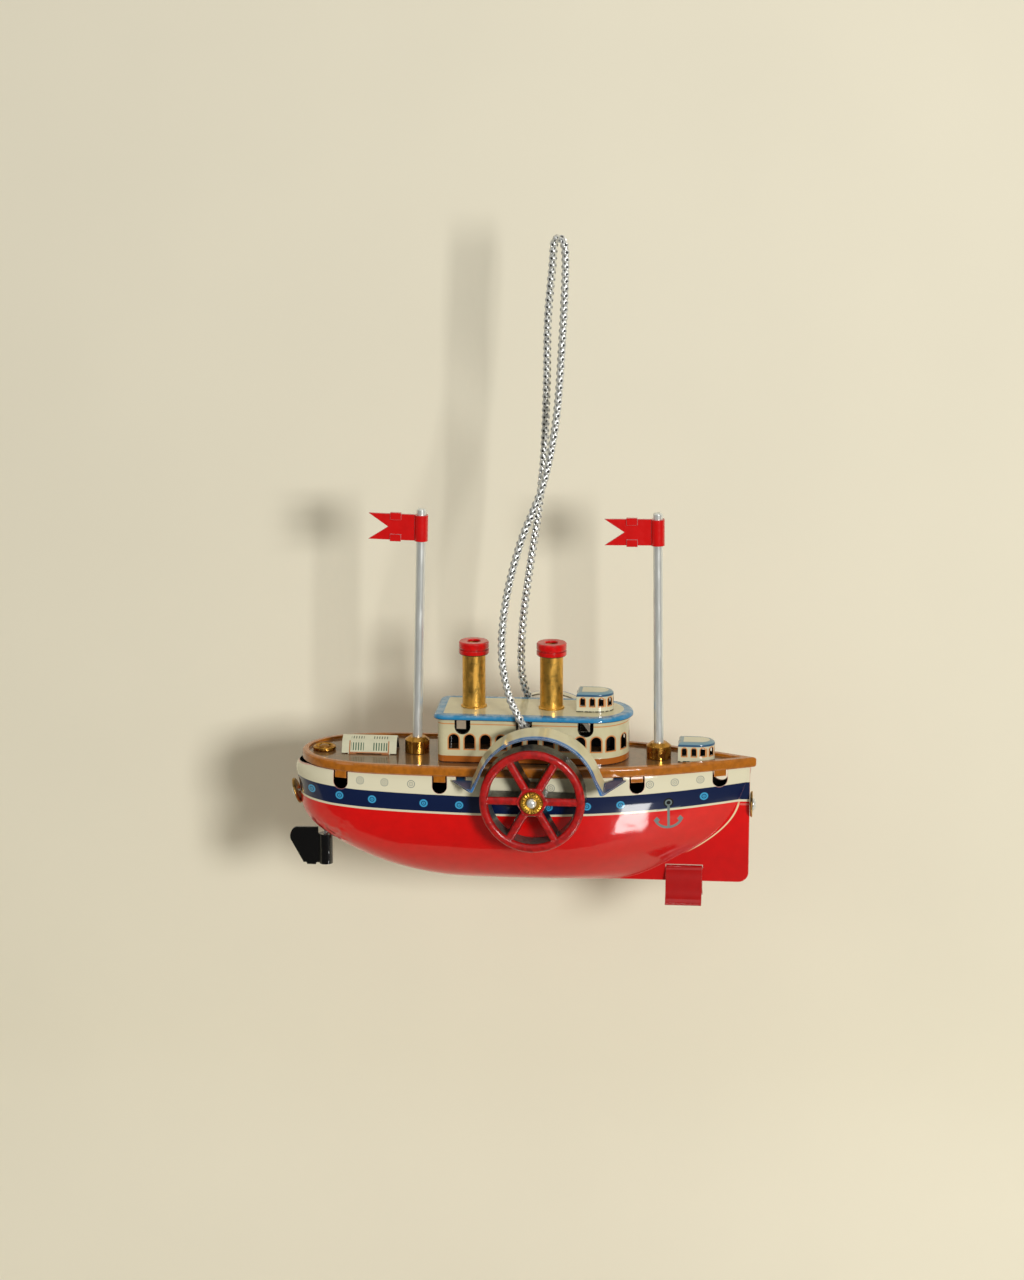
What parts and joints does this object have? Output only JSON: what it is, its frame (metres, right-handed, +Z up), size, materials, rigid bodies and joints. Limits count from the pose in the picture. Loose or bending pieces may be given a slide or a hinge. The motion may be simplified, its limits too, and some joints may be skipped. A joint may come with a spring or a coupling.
{
  "type": "toy paddle steamer",
  "caption": "Tin paddle steamer ornament with turning side wheels, rudder, flags on masts and a braided hanging cord.",
  "frame": {"origin": "bottom centre of the bounding box, on the centre plane, at the height of the stand's feet", "axes": "+X to the bow, +Y to port, +Z up; the paddle shaft lies along Y"},
  "size_m": [0.1128, 0.0484, 0.1604],
  "materials": {
    "hull_litho": "glossy printed tin: red, cream line, navy, cream",
    "deck_litho": "glossy printed tin, orange-brown rim",
    "cabin_litho": "glossy printed tin, cream with orange-brown base",
    "roof_litho": "glossy printed tin, cream with blue border",
    "house_litho": "glossy printed tin, cream with blue border",
    "skylight_litho": "glossy printed tin, cream with slots",
    "funnel_brass": "turned, lacquered",
    "cap_paint": "glossy red",
    "box_litho": "glossy printed tin, cream with blue edge",
    "stand_paint": "glossy dark red",
    "rosette": "worn",
    "steel": "bright drawn",
    "brass": "turned",
    "wheel_paint": "red front, black sides, worn",
    "rudder_paint": "gloss black",
    "flag_paint": "glossy red",
    "cord": "metallic silver braid"
  },
  "bodies": {
    "hull": {"hull_starboard": "hull_litho", "hull_port": "hull_litho", "deck": "deck_litho", "cabin": "cabin_litho", "cabin_roof": "roof_litho", "pilot_house": "house_litho", "fore_deckhouse": "house_litho", "skylight": "skylight_litho", "funnel_aft": "funnel_brass", "funnel_fore": "funnel_brass", "funnel_cap_aft": "cap_paint", "funnel_cap_fore": "cap_paint", "mast_aft": "steel", "mast_fore": "steel", "mast_base_aft": "brass", "mast_base_fore": "brass", "paddle_box_starboard": "box_litho", "paddle_box_port": "box_litho", "stand": "stand_paint", "bow_rosette": "rosette", "stern_rosette": "rosette", "bow_nail": "steel", "stern_nail": "steel", "shaft_bush_starboard": "brass", "shaft_bush_port": "brass", "rudder_eyelet": "brass"},
    "paddles": {"paddle_shaft": "steel", "paddle_wheel_starboard": "wheel_paint", "paddle_wheel_port": "wheel_paint", "hub_ring_starboard": "brass", "hub_ring_port": "brass", "shaft_spacer_starboard": "brass", "shaft_spacer_port": "brass"},
    "rudder": {"rudder_blade": "rudder_paint", "rudder_post": "steel"},
    "aft_flag": {"flag_aft": "flag_paint"},
    "fore_flag": {"flag_fore": "flag_paint"},
    "cord": {"hanging_cord": "cord"}
  },
  "joints": [
    {"name": "paddle_spin", "type": "hinge", "parent": "hull", "child": "paddles", "pos_m": [0.00438, 0, 0.03035], "axis": [0, 1, 0], "continuous": true},
    {"name": "rudder_turn", "type": "hinge", "parent": "hull", "child": "rudder", "pos_m": [-0.04772, 0, 0.015], "axis": [0, 0, 1], "range_deg": [-35, 35]},
    {"name": "aft_flag_swivel", "type": "hinge", "parent": "hull", "child": "aft_flag", "pos_m": [-0.02388, 0, 0.09058], "axis": [0.0244, 0, 0.9997], "continuous": true},
    {"name": "fore_flag_swivel", "type": "hinge", "parent": "hull", "child": "fore_flag", "pos_m": [0.03221, 0, 0.09059], "axis": [-0.014, 0, 0.9999], "continuous": true},
    {"name": "cord_swing", "type": "hinge", "parent": "hull", "child": "cord", "pos_m": [0.00147, 0, 0.0444], "axis": [0, 1, 0], "range_deg": [-15, 15]}
  ]
}
